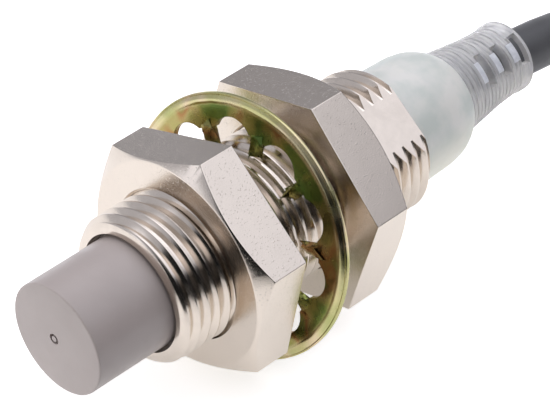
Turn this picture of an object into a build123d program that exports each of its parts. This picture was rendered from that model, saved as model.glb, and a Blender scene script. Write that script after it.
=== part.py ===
from build123d import *

import math
import os

# Inductive proximity sensor with an M12 x 1 barrel, two hexagon nuts, a toothed washer
# and a moulded-on cable.  Millimetres.  +X runs from the sensing face to the cable,
# +Z is up, and the origin is the middle of the sensing face.

# ---- driving dimensions -------------------------------------------------------------
PITCH = 1.0  # M12 x 1 fine thread
CREST_R = 5.95
ROOT_R = 5.42

CAP_R = 4.485  # plastic sensing cap
CAP_WALL = 0.5
BARREL_FRONT = 7.0  # x of the barrel's front edge: the cap stands this far out
BARREL_REAR = 32.9
BARREL_BORE_R = 4.8
SPANNER_FLAT = 5.08  # axis to the flat milled on the barrel
SPANNER_FLAT_TURN = 38.5  # degrees from +Z towards -Y
SPANNER_FLAT_START = 24.8

NUT_FLATS = 17.0
NUT_THICK = 4.0
NUT_BORE_R = 6.0
NUT_CHAMFER_R = 8.3  # radius at which the 30 degree chamfer meets the nut's face
FRONT_NUT_X = 11.6  # x of each nut's front face
REAR_NUT_X = 22.77
FRONT_NUT_TURN = 10.9  # degrees from +Z to a corner, towards -Y
REAR_NUT_TURN = 16.1

WASHER_R = 10.4
WASHER_THICK = 0.9
WASHER_TEETH = 10
WASHER_TIP_R = 6.4
WASHER_SCALLOP_R = 1.65
WASHER_SCALLOP_AT = 6.9
WASHER_CENTRE = (18.0, -0.10, -0.12)
WASHER_LEAN = 10.95  # degrees about Y: the loose washer leans back at the top
WASHER_SWING = 3.22  # degrees about Z
WASHER_PHASE = 3.0  # degrees from the local +Z to the first tooth
TOOTH_TWIST = 22.0

COVER_R = 4.95  # rear cover
COVER_SHOULDER = 37.8
COVER_END = 40.2
RELIEF_END = 47.9  # end collar of the strain relief

CABLE_R = 2.0
WIRE_R = 0.5
TAIL_R = 0.6

SURFACE_Z = -10.40  # what the sensor lies on, just under the washer's rim

# The cable's route from its end inside the rear cover to the hank, as corner points
ROUTE = [
    (37.0, 0.0, 0.0),
    (49.0, 0.0, 0.0),
    (61.0, 0.6, -3.5),
    (70.0, 2.6, -6.7),
    (79.5, 6.0, -8.1),
    (87.5, 7.9, SURFACE_Z + CABLE_R + 0.5),
    (93.0, 8.3, SURFACE_Z + CABLE_R + 0.5),
]

# The hank: long turns in two columns and five layers, drawn in at the waist by a tie
HANK_X = 111.3
HANK_Y = -8.0
HANK_HALF_RUN = 22.8
HANK_COLUMNS = (12.4, 16.5)  # bend radius of the cable's centreline in each column
HANK_WAIST = 8.4  # how far the tie draws each side in
HANK_LAYERS = 5
HANK_PITCH = 4.05
HANK_LIFT = 0.5  # thickness of the tie, which lies under the hank
TIE_WIDE = 4.0

HANK_FOOT = SURFACE_Z + HANK_LIFT
HANK_TOP = HANK_FOOT + 2 * CABLE_R + (HANK_LAYERS - 1) * HANK_PITCH

# The cable's end lies on the hank
END_START = (98.0, 6.0)
END_STOP = (116.0, -3.0)
TAIL_LONG = 26.0
TAIL_FAN = (-9.0, 0.0, 8.0)  # degrees that each wire turns from the cable's line
TIP_LONG = 5.0


# ---- helpers ------------------------------------------------------------------------
def turned(*outline):
    """A solid of revolution about X from (x, radius) points."""
    return revolve(make_face(Polyline(*outline, close=True)), Axis.X, 360)


def ring(x0, x1, inner, outer):
    return turned((x0, inner), (x1, inner), (x1, outer), (x0, outer))


def rod(x0, x1, radius, y=0.0, z=0.0):
    return Pos(0, y, z) * turned((x0, 0), (x1, 0), (x1, radius), (x0, radius))


def block(x0, x1, y0, y1, z0, z1):
    return Pos((x0 + x1) / 2, (y0 + y1) / 2, (z0 + z1) / 2) * Box(x1 - x0, y1 - y0, z1 - z0)


def write(name, shape):
    os.makedirs("parts", exist_ok=True)
    export_step(shape, f"parts/{name}.step")


# ---- barrel -------------------------------------------------------------------------
def thread_outline(start, end):
    """(x, radius) points along the thread's ridges, pitch by pitch."""
    points = []
    ridges = int((end - start) / PITCH)
    for i in range(ridges):
        x = start + i * PITCH
        points += [
            (x, ROOT_R),
            (x + 0.12, ROOT_R),
            (x + 0.43, CREST_R),
            (x + 0.69, CREST_R),
        ]
    points.append((start + ridges * PITCH, ROOT_R))
    return points


def make_barrel():
    lip = [
        (BARREL_FRONT, BARREL_BORE_R),
        (BARREL_FRONT, 5.3),
        (BARREL_FRONT + 0.25, 5.75),
        (BARREL_FRONT + 0.7, CREST_R),
        (BARREL_FRONT + 1.35, CREST_R),
    ]
    thread = thread_outline(BARREL_FRONT + 1.6, BARREL_REAR - 0.3)
    tail = [(BARREL_REAR, ROOT_R), (BARREL_REAR, BARREL_BORE_R)]
    barrel = turned(*lip, *thread, *tail)
    far = 2 * CREST_R
    flat = block(SPANNER_FLAT_START, BARREL_REAR + 1, -far, far, SPANNER_FLAT, far)
    return barrel - Rot(X=SPANNER_FLAT_TURN) * flat


# ---- nuts and washer ----------------------------------------------------------------
def make_nut(x, turn, chamfer_on_nose_side):
    """A hexagon nut whose front face is at x, with a corner turned from +Z towards -Y."""
    corner = NUT_FLATS / math.sqrt(3)
    hexagon = Plane.YZ * RegularPolygon(corner, 6, rotation=30)
    prism = extrude(hexagon, NUT_THICK)
    reach = corner + 0.5
    drop = (reach - NUT_CHAMFER_R) * math.tan(math.radians(30))
    envelope = turned((0, 0), (0, NUT_CHAMFER_R), (drop, reach), (NUT_THICK, reach), (NUT_THICK, 0))
    bore_bevel = 0.25
    bore = turned(
        (0, 0),
        (0, NUT_BORE_R + bore_bevel),
        (bore_bevel, NUT_BORE_R),
        (NUT_THICK - bore_bevel, NUT_BORE_R),
        (NUT_THICK, NUT_BORE_R + bore_bevel),
        (NUT_THICK, 0),
    )
    nut = (prism & envelope) - bore
    if not chamfer_on_nose_side:
        nut = Pos(NUT_THICK, 0, 0) * Rot(Z=180) * nut
    return Pos(x, 0, 0) * Rot(X=turn) * nut


def make_washer():
    """An internal-tooth washer with twisted teeth, leaning on the thread as it hangs loose."""
    half = WASHER_THICK / 2
    edge = 0.25
    body = turned(
        (-half, WASHER_SCALLOP_AT + 0.6),
        (-half, WASHER_R - edge),
        (-half + edge, WASHER_R),
        (half - edge, WASHER_R),
        (half, WASHER_R - edge),
        (half, WASHER_SCALLOP_AT + 0.6),
    )
    step = 360 / WASHER_TEETH
    scallop = rod(-WASHER_THICK, WASHER_THICK, WASHER_SCALLOP_R, z=WASHER_SCALLOP_AT)
    for i in range(WASHER_TEETH):
        body -= Rot(X=(i + 0.5) * step) * scallop
    tooth_long = WASHER_SCALLOP_AT + 1.1 - WASHER_TIP_R
    tooth = Pos(0, 0, WASHER_TIP_R + tooth_long / 2) * Rot(Z=TOOTH_TWIST) * Box(0.7, 1.25, tooth_long)
    for i in range(WASHER_TEETH):
        body += Rot(X=i * step) * tooth
    lean = Rot(Z=WASHER_SWING) * Rot(Y=WASHER_LEAN) * Rot(X=WASHER_PHASE)
    return Pos(*WASHER_CENTRE) * lean * body


# ---- sensing head -------------------------------------------------------------------
CAP_FLANGE = BARREL_FRONT + 1.2  # the cap widens here to sit in the bore
CAP_REAR = CAP_FLANGE + 1.6
CAP_INNER_R = CAP_R - CAP_WALL
CORE_X = CAP_WALL + 0.1
CORE_LONG = 3.7
CORE_R = 3.85
POST_R = 1.5
GROOVE_R = 3.2
GROOVE_DEEP = 2.5


def make_cap():
    outer = turned(
        (0, 0),
        (0, CAP_R - 0.12),
        (0.12, CAP_R),
        (CAP_FLANGE, CAP_R),
        (CAP_FLANGE, BARREL_BORE_R - 0.02),
        (CAP_REAR, BARREL_BORE_R - 0.02),
        (CAP_REAR, 0),
    )
    return outer - rod(CAP_WALL, CAP_REAR + 1, CAP_INNER_R)


def make_core():
    core = rod(CORE_X, CORE_X + CORE_LONG, CORE_R) - rod(CORE_X - 1, CORE_X + CORE_LONG + 1, 0.45)
    return core - ring(CORE_X - 1, CORE_X + GROOVE_DEEP, POST_R, GROOVE_R)


def make_bobbin():
    """A spool round the core's post."""
    front = CORE_X + 0.1
    rear = CORE_X + GROOVE_DEEP - 0.05
    return turned(
        (front, POST_R + 0.05),
        (front, GROOVE_R - 0.05),
        (front + 0.25, GROOVE_R - 0.05),
        (front + 0.25, POST_R + 0.3),
        (rear - 0.25, POST_R + 0.3),
        (rear - 0.25, GROOVE_R - 0.05),
        (rear, GROOVE_R - 0.05),
        (rear, POST_R + 0.05),
    )


def make_winding():
    return ring(CORE_X + 0.35, CORE_X + GROOVE_DEEP - 0.3, POST_R + 0.3, GROOVE_R - 0.15)


# ---- electronics --------------------------------------------------------------------
BOARD_FRONT = CORE_X + CORE_LONG + 0.3
BOARD_REAR = 35.2
BOARD_HALF_WIDE = 3.3
BOARD_HALF_THICK = 0.4
LEAD_R = 0.15
LEAD_AT = 1.2
WIRE_START = 31.8
WIRE_AT = 1.1


def on_board(x, y, size, below=False):
    """A component body centred at x, y on the board's upper or lower face."""
    long, wide, high = size
    z = BOARD_HALF_THICK + high / 2
    body = Pos(x, y, -z if below else z) * Box(long, wide, high)
    return chamfer(body.edges().filter_by(Axis.X), 0.08)


def make_electronics():
    parts = {}
    parts["circuit_board"] = block(
        BOARD_FRONT, BOARD_REAR, -BOARD_HALF_WIDE, BOARD_HALF_WIDE, -BOARD_HALF_THICK, BOARD_HALF_THICK
    )
    parts["control_ic"] = on_board(14.5, 0, (4.9, 3.9, 1.5))
    parts["output_transistor"] = on_board(25.6, 0.9, (2.9, 1.6, 1.1))
    parts["protection_diode"] = on_board(25.8, 0, (3.6, 1.7, 1.2), below=True)
    parts["indicator_led"] = on_board(33.9, -2.5, (1.6, 0.8, 0.7))
    chip = (1.25, 2.0, 0.5)
    spots = [(9.6, 1.4), (9.6, -1.4), (19.4, 1.4), (22.2, -1.2)]
    parts["resistors"] = Part() + [on_board(x, y, chip) for x, y in spots]
    block_capacitor = (1.6, 3.2, 1.0)
    spots = [(11.0, 0.0), (16.5, 0.0), (20.5, 0.0)]
    parts["capacitors"] = Part() + [on_board(x, y, block_capacitor, below=True) for x, y in spots]

    leads, joints = [], []
    core_back = CORE_X + CORE_LONG
    for y in (-LEAD_AT, LEAD_AT):
        leads.append(rod(core_back, core_back + 2.0, LEAD_R, y, BOARD_HALF_THICK + LEAD_R))
        joints.append(block(core_back + 2.0, core_back + 2.7, y - 0.4, y + 0.4, BOARD_HALF_THICK, 0.9))
    names = ("blue_wire", "black_wire", "brown_wire")
    for name, y in zip(names, (-WIRE_AT, 0.0, WIRE_AT)):
        parts[name] = rod(WIRE_START, ROUTE[0][0], WIRE_R, y, BOARD_HALF_THICK + WIRE_R)
        joints.append(block(WIRE_START - 1.1, WIRE_START, y - 0.4, y + 0.4, BOARD_HALF_THICK, 1.0))
    parts["coil_leads"] = Part() + leads
    parts["solder_joints"] = Part() + joints
    return parts


# ---- rear end -----------------------------------------------------------------------
COVER_SPIGOT = 29.6  # the cover's spigot reaches this far into the barrel
COVER_CAVITY_R = 3.9
RELIEF_ROOT = 37.5
RELIEF_SPIGOT_R = 2.75


def make_rear_cover():
    outer = turned(
        (COVER_SPIGOT, 0),
        (COVER_SPIGOT, BARREL_BORE_R - 0.02),
        (BARREL_REAR, BARREL_BORE_R - 0.02),
        (BARREL_REAR, COVER_R),
        (COVER_SHOULDER - 0.4, COVER_R - 0.15),
        (COVER_SHOULDER + 0.7, 4.6),
        (COVER_SHOULDER + 1.7, 4.1),
        (COVER_END, 3.65),
        (COVER_END, 0),
    )
    cavity = rod(COVER_SPIGOT - 1, RELIEF_ROOT, COVER_CAVITY_R)
    return outer - cavity - rod(RELIEF_ROOT - 1, COVER_END + 1, RELIEF_SPIGOT_R)


def make_strain_relief():
    """A tapered sleeve, slotted crosswise on alternate sides so that it can bend."""
    sleeve = turned(
        (RELIEF_ROOT, CABLE_R + 0.03),
        (RELIEF_ROOT, RELIEF_SPIGOT_R - 0.01),
        (COVER_END, RELIEF_SPIGOT_R - 0.01),
        (COVER_END, 3.55),
        (42.6, 3.15),
        (44.0, 2.95),
        (46.8, 2.85),
        (47.2, 3.02),
        (RELIEF_END, 3.02),
        (RELIEF_END, CABLE_R + 0.5),
        (43.0, CABLE_R + 0.03),
    )
    slot_wide = 0.6
    bridge = 1.1
    for i in range(5):
        x = 42.0 + 1.05 * i
        cut = ring(x - slot_wide / 2, x + slot_wide / 2, CABLE_R - 0.2, 5)
        cut -= block(x - 1, x + 1, -6, 6, -bridge / 2, bridge / 2)
        turn = SPANNER_FLAT_TURN + 90 * (i % 2)
        sleeve -= Rot(X=turn) * cut
    return sleeve


# ---- cable --------------------------------------------------------------------------
def route_radii(points):
    """The largest arc that the runs at each inner corner allow."""
    radii = []
    for a, b, c in zip(points, points[1:], points[2:]):
        before = Vector(*b) - Vector(*a)
        after = Vector(*c) - Vector(*b)
        half_turn = math.radians(before.get_angle(after)) / 2
        radii.append(0.45 * min(before.length, after.length) / math.tan(half_turn))
    return radii


def make_cable():
    radii = route_radii(ROUTE)
    print("cable arc radii:", [round(r, 1) for r in radii])
    path = FilletPolyline(*ROUTE, radius=radii)
    start = Plane(origin=path @ 0, z_dir=path % 0)
    tube = sweep(start * Circle(CABLE_R), path=path)
    section = math.pi * CABLE_R**2
    print(f"cable tube: {path.length:.1f} long, volume ratio {tube.volume / section / path.length:.4f}")
    return tube


def hank_side(half_wide):
    """Arcs along one side, from its far end to its near end, drawn in at the middle."""
    drop = HANK_WAIST
    run = HANK_HALF_RUN
    arc_r = (run**2 + drop**2) / (4 * drop)
    quarter = math.asin(run / 2 / arc_r) / 2
    dx = arc_r * math.sin(quarter)
    dy = arc_r * (1 - math.cos(quarter))
    far, near, waist = (run, half_wide), (-run, half_wide), (0, half_wide - drop)
    bend_far, bend_near = (run / 2, half_wide - drop / 2), (-run / 2, half_wide - drop / 2)
    return [
        ThreePointArc(far, (run - dx, half_wide - dy), bend_far),
        ThreePointArc(bend_far, (dx, half_wide - drop + dy), waist),
        ThreePointArc(waist, (-dx, half_wide - drop + dy), bend_near),
        ThreePointArc(bend_near, (-run + dx, half_wide - dy), near),
    ]


def make_hank():
    half_wide = HANK_COLUMNS[-1] + CABLE_R
    upper = hank_side(half_wide)
    lower = [line.mirror(Plane.XZ) for line in upper]
    run = HANK_HALF_RUN
    near = ThreePointArc((-run, half_wide), (-run - half_wide, 0), (-run, -half_wide))
    far = ThreePointArc((run, half_wide), (run + half_wide, 0), (run, -half_wide))
    outline = make_face(Wire([*upper, near, *lower, far]))
    body = extrude(outline, HANK_TOP - HANK_FOOT)
    ends = body.edges().filter_by(Plane.XY)
    return Pos(HANK_X, HANK_Y, HANK_FOOT) * chamfer(ends, 1.0)


def make_tie():
    """A flat band round the hank's waist."""
    inner_half = HANK_COLUMNS[-1] + CABLE_R - HANK_WAIST + 0.45
    height = HANK_TOP - HANK_FOOT + 0.1
    outer = Box(TIE_WIDE, 2 * (inner_half + HANK_LIFT), height + 2 * HANK_LIFT - 0.1)
    inner = Box(TIE_WIDE + 1, 2 * inner_half, height)
    middle = (HANK_TOP + HANK_FOOT) / 2
    corners = outer.edges().filter_by(Axis.X)
    return Pos(HANK_X, HANK_Y, middle) * (fillet(corners, 1.2) - inner)


def make_cable_end():
    """The last of the cable on top of the hank, its three wires and their bare tips."""
    parts = {}
    z = HANK_TOP + HANK_LIFT + 0.1
    (x0, y0), (x1, y1) = END_START, END_STOP
    heading = math.degrees(math.atan2(y1 - y0, x1 - x0))
    long = math.hypot(x1 - x0, y1 - y0)
    parts["cable_end"] = Pos(x0, y0, z + CABLE_R) * Rot(Z=heading) * rod(0, long, CABLE_R)
    tips = []
    for name, fan, side in zip(("blue_tail", "black_tail", "brown_tail"), TAIL_FAN, (-1.25, 0.0, 1.25)):
        place = Pos(x1, y1, z + TAIL_R) * Rot(Z=heading) * Pos(0, side, 0) * Rot(Z=fan)
        gap = 0.25 if side else 0.0
        parts[name] = place * rod(gap, TAIL_LONG, TAIL_R)
        tips.append(place * rod(TAIL_LONG, TAIL_LONG + TIP_LONG, TAIL_R * 0.55))
    parts["bare_tips"] = Part() + tips
    return parts


# ---- potting ------------------------------------------------------------------------
def make_potting(inside):
    """Resin that fills the cap, barrel and rear cover round the electronics."""
    resin = rod(CORE_X + CORE_LONG, CAP_REAR, CAP_INNER_R - 0.02)
    resin += rod(CAP_REAR, COVER_SPIGOT, BARREL_BORE_R - 0.02)
    resin += rod(COVER_SPIGOT, ROUTE[0][0], COVER_CAVITY_R - 0.02)
    for part in inside:
        resin -= part
    return resin


def main():
    electronics = make_electronics()
    parts = {
        "sensing_cap": make_cap(),
        "ferrite_core": make_core(),
        "coil_bobbin": make_bobbin(),
        "coil_winding": make_winding(),
        **electronics,
        "potting_resin": make_potting(electronics.values()),
        "threaded_barrel": make_barrel(),
        "front_nut": make_nut(FRONT_NUT_X, FRONT_NUT_TURN, True),
        "toothed_washer": make_washer(),
        "rear_nut": make_nut(REAR_NUT_X, REAR_NUT_TURN, False),
        "rear_cover": make_rear_cover(),
        "strain_relief": make_strain_relief(),
        "cable_jacket": make_cable(),
        "cable_hank": make_hank(),
        "hank_tie": make_tie(),
        **make_cable_end(),
    }
    for name, shape in parts.items():
        write(name, shape)


main()
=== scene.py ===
"""A threaded-barrel proximity sensor with its two nuts, loose toothed washer and moulded-on cable.

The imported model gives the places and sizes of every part.  This script builds the detailed
surfaces round it: the helical thread and its milled flat, the nuts with their tapped bores, the
twisted-tooth washer, the plastic cap, cover and strain relief, and the hank of cable.
Lengths are in metres.  +X runs from the sensing face to the cable and +Z is up.
Angles round the barrel are measured from +Z towards -Y.
"""

import logging
import math
from dataclasses import dataclass
from enum import Enum

import bmesh
import bpy
from mathutils import Matrix, Vector


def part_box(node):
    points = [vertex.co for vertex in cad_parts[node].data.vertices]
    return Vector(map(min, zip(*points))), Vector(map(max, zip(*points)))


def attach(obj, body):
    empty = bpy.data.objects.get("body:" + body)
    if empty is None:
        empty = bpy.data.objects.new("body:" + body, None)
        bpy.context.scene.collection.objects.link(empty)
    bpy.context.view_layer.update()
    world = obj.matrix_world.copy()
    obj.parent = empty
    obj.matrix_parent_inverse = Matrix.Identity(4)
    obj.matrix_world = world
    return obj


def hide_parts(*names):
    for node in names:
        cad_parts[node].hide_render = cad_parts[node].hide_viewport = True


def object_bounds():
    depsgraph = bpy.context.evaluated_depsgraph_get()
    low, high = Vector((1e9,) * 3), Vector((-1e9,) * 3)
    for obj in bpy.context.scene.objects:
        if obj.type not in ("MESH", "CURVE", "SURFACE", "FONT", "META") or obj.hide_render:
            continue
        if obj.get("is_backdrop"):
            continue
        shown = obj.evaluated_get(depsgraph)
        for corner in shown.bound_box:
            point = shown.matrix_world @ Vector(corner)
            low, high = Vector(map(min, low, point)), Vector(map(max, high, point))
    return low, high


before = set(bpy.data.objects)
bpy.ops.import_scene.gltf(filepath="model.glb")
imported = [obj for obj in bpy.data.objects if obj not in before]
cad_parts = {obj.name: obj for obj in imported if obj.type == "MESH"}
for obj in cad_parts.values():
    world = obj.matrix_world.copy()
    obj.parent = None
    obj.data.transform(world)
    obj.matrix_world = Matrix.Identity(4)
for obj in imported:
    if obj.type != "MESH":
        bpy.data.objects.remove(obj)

LOG = logging.getLogger("sensor")
MM = 0.001
AXIS = Vector((1.0, 0.0, 0.0))
Colour = tuple[float, float, float]
Outline = list[tuple[float, float]]


class Carve(Enum):
    """How one solid changes another."""

    CUT = "DIFFERENCE"
    TRIM = "INTERSECT"


class Body(Enum):
    """The moving bodies of the sensor."""

    SENSOR = "sensor"
    WASHER = "washer"
    FRONT_NUT = "front_nut"
    REAR_NUT = "rear_nut"


# ---- finishes -----------------------------------------------------------------------
class NodeBench:
    """A material's node tree, with short ways to add and join nodes."""

    def __init__(self, name: str) -> None:
        """Starts an empty material.

        Args:
            name: the material's name.
        """
        self.material = bpy.data.materials.new(name)
        self.material.use_nodes = True
        self.tree = self.material.node_tree
        self.tree.nodes.clear()
        self.shader = self.add("ShaderNodeBsdfPrincipled")
        output = self.add("ShaderNodeOutputMaterial")
        self.join(self.shader.outputs["BSDF"], output.inputs["Surface"])
        self.place = self.add("ShaderNodeTexCoord").outputs["Object"]

    def add(self, kind: str, **inputs: float | tuple) -> bpy.types.Node:
        """Adds one node.

        Args:
            kind: the node's type name.
            **inputs: values for its input sockets, by name with _ for a space.

        Returns:
            The new node.
        """
        node = self.tree.nodes.new(kind)
        for name, value in inputs.items():
            node.inputs[name.replace("_", " ")].default_value = value
        return node

    def join(self, source: bpy.types.NodeSocket, target: bpy.types.NodeSocket) -> None:
        """Links an output socket to an input socket."""
        self.tree.links.new(source, target)

    def noise(self, size: float, detail: float = 3.0, stretch: Vector | None = None) -> bpy.types.NodeSocket:
        """Adds noise fixed to the piece.

        Args:
            size: the size of its patches, in metres.
            detail: how many finer layers it has.
            stretch: how much shorter the patches are along X, Y and Z.

        Returns:
            The noise's value, from 0 to 1.
        """
        node = self.add("ShaderNodeTexNoise", Scale=1.0 / size, Detail=detail)
        source = self.place
        if stretch is not None:
            mapping = self.add("ShaderNodeMapping")
            mapping.inputs["Scale"].default_value = stretch
            self.join(source, mapping.inputs["Vector"])
            source = mapping.outputs["Vector"]
        self.join(source, node.inputs["Vector"])
        return node.outputs["Fac"]

    def ramp(self, value: bpy.types.NodeSocket, stops: list[tuple[float, Colour]]) -> bpy.types.NodeSocket:
        """Adds a colour ramp.

        Args:
            value: what picks the colour.
            stops: each colour and where it sits, from 0 to 1.

        Returns:
            The ramp's colour.
        """
        node = self.add("ShaderNodeValToRGB")
        elements = node.color_ramp.elements
        while len(elements) < len(stops):
            elements.new(0.5)
        for element, (at, colour) in zip(elements, stops):
            element.position = at
            element.color = (*colour, 1.0)
        self.join(value, node.inputs["Fac"])
        return node.outputs["Color"]

    def spread(self, value: bpy.types.NodeSocket, low: float, high: float) -> bpy.types.NodeSocket:
        """Maps the middle of a noise's range onto low to high."""
        node = self.add("ShaderNodeMapRange")
        node.inputs["From Min"].default_value = 0.3
        node.inputs["From Max"].default_value = 0.7
        node.inputs["To Min"].default_value = low
        node.inputs["To Max"].default_value = high
        self.join(value, node.inputs["Value"])
        return node.outputs["Result"]

    def relief(self, height: bpy.types.NodeSocket, depth: float, strength: float = 1.0) -> None:
        """Adds a bump of that height and depth, on top of any bump that is there."""
        node = self.add("ShaderNodeBump", Strength=strength, Distance=depth)
        before = self.shader.inputs["Normal"].links
        if before:
            self.join(before[0].from_socket, node.inputs["Normal"])
        self.join(height, node.inputs["Height"])
        self.join(node.outputs["Normal"], self.shader.inputs["Normal"])


@dataclass(frozen=True)
class Finish:
    """A surface finish: a colour that wanders a little, a sheen that varies and a fine relief."""

    name: str
    slot: str
    colour: Colour
    accent: Colour
    patch: float = 2.0 * MM
    roughness: float = 0.45
    rough_swing: float = 0.08
    grain: float = 0.15 * MM
    grain_depth: float = 0.004 * MM
    metal: float = 0.0
    coat: float = 0.0

    def colours(self, bench: NodeBench) -> bpy.types.NodeSocket:
        """Returns the socket that gives the surface its colour."""
        return bench.ramp(bench.noise(self.patch), [(0.35, self.colour), (0.68, self.accent)])

    def extras(self, bench: NodeBench) -> None:
        """Adds what only this kind of finish has."""

    def build(self) -> bpy.types.Material:
        """Builds the finish.

        Returns:
            The material.
        """
        bench = NodeBench(self.name)
        shader = bench.shader
        shader.inputs["Metallic"].default_value = self.metal
        shader.inputs["Coat Weight"].default_value = self.coat
        bench.join(self.colours(bench), shader.inputs["Base Color"])
        low, high = self.roughness - self.rough_swing, self.roughness + self.rough_swing
        bench.join(bench.spread(bench.noise(self.patch * 0.4), low, high), shader.inputs["Roughness"])
        bench.relief(bench.noise(self.grain, detail=4.0), self.grain_depth)
        self.extras(bench)
        return bench.material


@dataclass(frozen=True)
class PlatedNickel(Finish):
    """Nickel plating over turned or milled brass, with faint tool marks under it."""

    metal: float = 1.0
    mark_stretch: Colour = (1.0, 1.0, 1.0)
    mark_size: float = 0.3 * MM
    mark_depth: float = 0.002 * MM
    speck_size: float = 0.16 * MM
    speck_depth: float = 0.0

    def extras(self, bench: NodeBench) -> None:
        """Adds the tool marks and a few sparkling specks."""
        marks = bench.noise(self.mark_size, 2.0, Vector(self.mark_stretch))
        bench.relief(marks, self.mark_depth)
        if self.speck_depth > 0:
            specks = bench.ramp(bench.noise(self.speck_size, 1.0), [(0.66, (0, 0, 0)), (0.72, (1, 1, 1))])
            bench.relief(specks, self.speck_depth)


@dataclass(frozen=True)
class IridescentChromate(Finish):
    """Yellow chromate over zinc: gold that drifts to green, rose and rust; the web's dark tones are partly painted
    shade, and the paler rolled rim is a painted highlight.
    """

    metal: float = 1.0
    centre: Vector = Vector((18.0, -0.10, -0.12)) * MM
    rim_start: float = 9.45 * MM
    rim_full: float = 9.8 * MM
    # how much of the painted rim highlight shows at the rim
    rim_highlight_share: float = 0.85

    def colours(self, bench: NodeBench) -> bpy.types.NodeSocket:
        """Returns the drifting interference colours, with a painted highlight that makes them paler towards the rim.
        """
        # web colours: the chromate's own tones, partly darkened as painted shade
        stops = [
            (0.34, (0.16, 0.24, 0.06)),
            (0.43, (0.34, 0.33, 0.10)),
            (0.50, (0.42, 0.36, 0.14)),
            (0.57, (0.38, 0.20, 0.08)),
            (0.64, (0.24, 0.27, 0.08)),
        ]
        web = bench.ramp(bench.noise(self.patch, 2.0), stops)
        # painted highlight: paler colours on the rolled rim, blended in by distance from the centre
        rim_highlight_stops = [
            (0.34, (0.46, 0.47, 0.20)),
            (0.43, (0.66, 0.60, 0.32)),
            (0.52, (0.80, 0.66, 0.44)),
            (0.62, (0.60, 0.57, 0.27)),
        ]
        pale = bench.ramp(bench.noise(self.patch * 1.3, 2.0), rim_highlight_stops)
        away = bench.add("ShaderNodeVectorMath")
        away.operation = "DISTANCE"
        away.inputs[1].default_value = self.centre
        bench.join(bench.place, away.inputs[0])
        share = bench.add("ShaderNodeMapRange")
        share.inputs["From Min"].default_value = self.rim_start
        share.inputs["From Max"].default_value = self.rim_full
        share.inputs["To Max"].default_value = self.rim_highlight_share
        bench.join(away.outputs["Value"], share.inputs["Value"])
        blend = bench.add("ShaderNodeMix")
        blend.data_type = "RGBA"
        bench.join(pale, blend.inputs[7])
        bench.join(share.outputs["Result"], blend.inputs[0])
        bench.join(web, blend.inputs[6])
        return blend.outputs[2]


@dataclass(frozen=True)
class Translucent(Finish):
    """A milky or clear moulding that lets light into it."""

    milk: float = 0.6
    depth: float = 1.5 * MM
    clear: float = 0.0
    # painted floor light on the underside: its colour and how much of it shows
    underside_light_colour: Colour = (0.75, 0.72, 0.60)
    underside_light_share: float = 0.0
    rings: float = 1.0

    def colours(self, bench: NodeBench) -> bpy.types.NodeSocket:
        """Returns colours in faint rings, with painted floor light that makes the underside paler and warmer."""
        drift = bench.noise(self.patch, 3.0, Vector((self.rings, 1.0, 1.0)))
        upper = bench.ramp(drift, [(0.38, self.colour), (0.62, self.accent)])
        # painted light: below the middle the colour is blended towards a pale warm colour, as if lit from the floor
        parts = bench.add("ShaderNodeSeparateXYZ")
        bench.join(bench.place, parts.inputs["Vector"])
        underside_light = bench.add("ShaderNodeMapRange")
        underside_light.inputs["From Min"].default_value = 1.5 * MM
        underside_light.inputs["From Max"].default_value = -3.0 * MM
        underside_light.inputs["To Max"].default_value = self.underside_light_share
        bench.join(parts.outputs["Z"], underside_light.inputs["Value"])
        blend = bench.add("ShaderNodeMix")
        blend.data_type = "RGBA"
        blend.inputs[7].default_value = (*self.underside_light_colour, 1.0)
        bench.join(underside_light.outputs["Result"], blend.inputs[0])
        bench.join(upper, blend.inputs[6])
        return blend.outputs[2]

    def extras(self, bench: NodeBench) -> None:
        """Lets light scatter in the moulding and pass through it."""
        shader = bench.shader
        shader.inputs["Subsurface Weight"].default_value = self.milk
        shader.inputs["Subsurface Radius"].default_value = (1.0, 1.0, 0.9)
        shader.inputs["Subsurface Scale"].default_value = self.depth
        shader.inputs["Transmission Weight"].default_value = self.clear
        shader.inputs["IOR"].default_value = 1.45


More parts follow.
